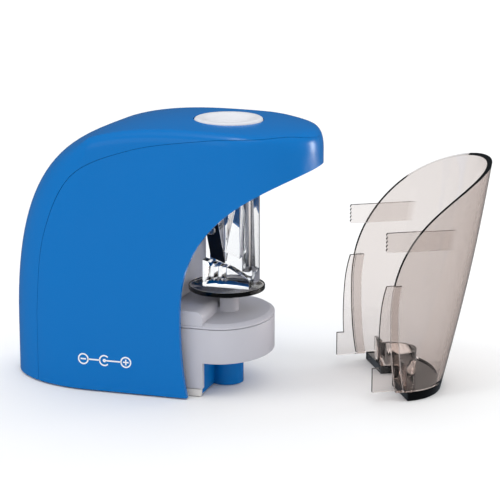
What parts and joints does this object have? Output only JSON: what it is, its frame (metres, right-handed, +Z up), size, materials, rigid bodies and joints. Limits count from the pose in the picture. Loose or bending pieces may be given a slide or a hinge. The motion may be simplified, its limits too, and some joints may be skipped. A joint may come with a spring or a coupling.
{
  "type": "electric pencil sharpener",
  "caption": "Desk-top electric pencil sharpener with a curved overhanging body, an upright rotary cutter and a clear shavings drawer pulled off beside it.",
  "frame": {"origin": "on the cutter's vertical axis, at the underside of the round front foot, which stands on the desk", "axes": "+X towards the overhanging nose and the drawer, +Y towards the left side seen from behind, +Z up along the cutter's axis"},
  "size_m": [0.1968, 0.0874, 0.1124],
  "materials": {
    "body_blue": "gloss moulded blue",
    "housing_grey": "satin moulded light grey",
    "guide_white": "satin white",
    "cutter_clear": "clear moulded plastic",
    "drawer_smoke": "smoky clear plastic",
    "drawer_sole": "dark clear plastic",
    "steel": "bright",
    "dark_steel": "blackened",
    "brass": "turned",
    "black_rubber": "matt",
    "nylon": "natural",
    "board_green": "solder mask",
    "cell_skin": "plain printed sleeve"
  },
  "bodies": {
    "body": {"left_shell": "body_blue", "right_shell": "body_blue", "top_band": "body_blue", "base_plate": "body_blue", "battery_door": "body_blue", "foot_1": "black_rubber", "foot_2": "black_rubber", "foot_3": "black_rubber", "foot_4": "black_rubber", "base_screw_1": "steel", "base_screw_2": "steel", "base_screw_3": "steel", "base_screw_4": "steel", "battery_holder": "housing_grey", "cell_1": "cell_skin", "cell_2": "cell_skin", "cell_3": "cell_skin", "cell_4": "cell_skin", "cell_bridge_1": "steel", "cell_bridge_2": "steel", "cell_contact": "steel", "gear_case": "housing_grey", "gear_case_cover": "housing_grey", "leg_pad_1": "guide_white", "leg_pad_2": "guide_white", "front_bulkhead": "housing_grey", "guide_bridge": "housing_grey", "pencil_guide": "guide_white", "guide_sleeve": "guide_white", "upper_bush": "nylon", "lower_bush": "brass", "idler_axle": "steel", "motor_can": "steel", "motor_end_cap": "black_rubber", "motor_terminal_1": "brass", "motor_terminal_2": "brass", "dc_jack": "black_rubber", "control_board": "board_green", "motor_driver_chip": "black_rubber", "drawer_switch": "black_rubber", "lever_pin": "steel", "start_switch": "black_rubber"},
    "cutter": {"thrust_washer": "steel", "cutter_gear": "nylon", "cutter_shaft": "steel", "cutter_hub": "dark_steel", "cutter_disc": "cutter_clear", "cutter_carrier": "cutter_clear", "blade": "dark_steel", "blade_screw": "steel"},
    "idler": {"idler_gear": "nylon"},
    "motor_rotor": {"motor_shaft": "steel", "motor_pinion": "brass"},
    "plunger": {"drawer_switch_plunger": "guide_white"},
    "lever": {"pencil_lever": "guide_white"},
    "drawer": {"drawer_shell": "drawer_smoke", "drawer_base": "drawer_sole"}
  },
  "joints": [
    {"name": "cutter_spin", "type": "hinge", "parent": "body", "child": "cutter", "pos_m": [0, 0, 0.04], "axis": [0, 0, 1], "continuous": true},
    {"name": "idler_spin", "type": "hinge", "parent": "body", "child": "idler", "pos_m": [-0.0208, 0, 0.02], "axis": [0, 0, 1], "continuous": true},
    {"name": "motor_spin", "type": "hinge", "parent": "body", "child": "motor_rotor", "pos_m": [-0.0416, 0, 0.04], "axis": [0, 0, 1], "continuous": true},
    {"name": "plunger_slide", "type": "slide", "parent": "body", "child": "plunger", "axis": [1, 0, 0], "range_m": [-0.002, 0], "stiffness_N_per_m": 60, "springref_m": 0.001},
    {"name": "pencil_lever_tilt", "type": "hinge", "parent": "body", "child": "lever", "pos_m": [-0.0095, 0, 0.105], "axis": [0, 1, 0], "range_deg": [0, 14], "stiffness_Nm_per_rad": 0.01, "springref_deg": -8.59},
    {"name": "drawer_swing", "type": "hinge", "parent": "body", "child": "drawer", "pos_m": [-0.008, 0.135, 0], "axis": [0, 0, 1], "range_deg": [-30, 0]}
  ],
  "couplings": [
    {"joint": "idler_spin", "follows": "cutter_spin", "ratio": -2.7143},
    {"joint": "motor_spin", "follows": "cutter_spin", "ratio": 9.0476}
  ]
}
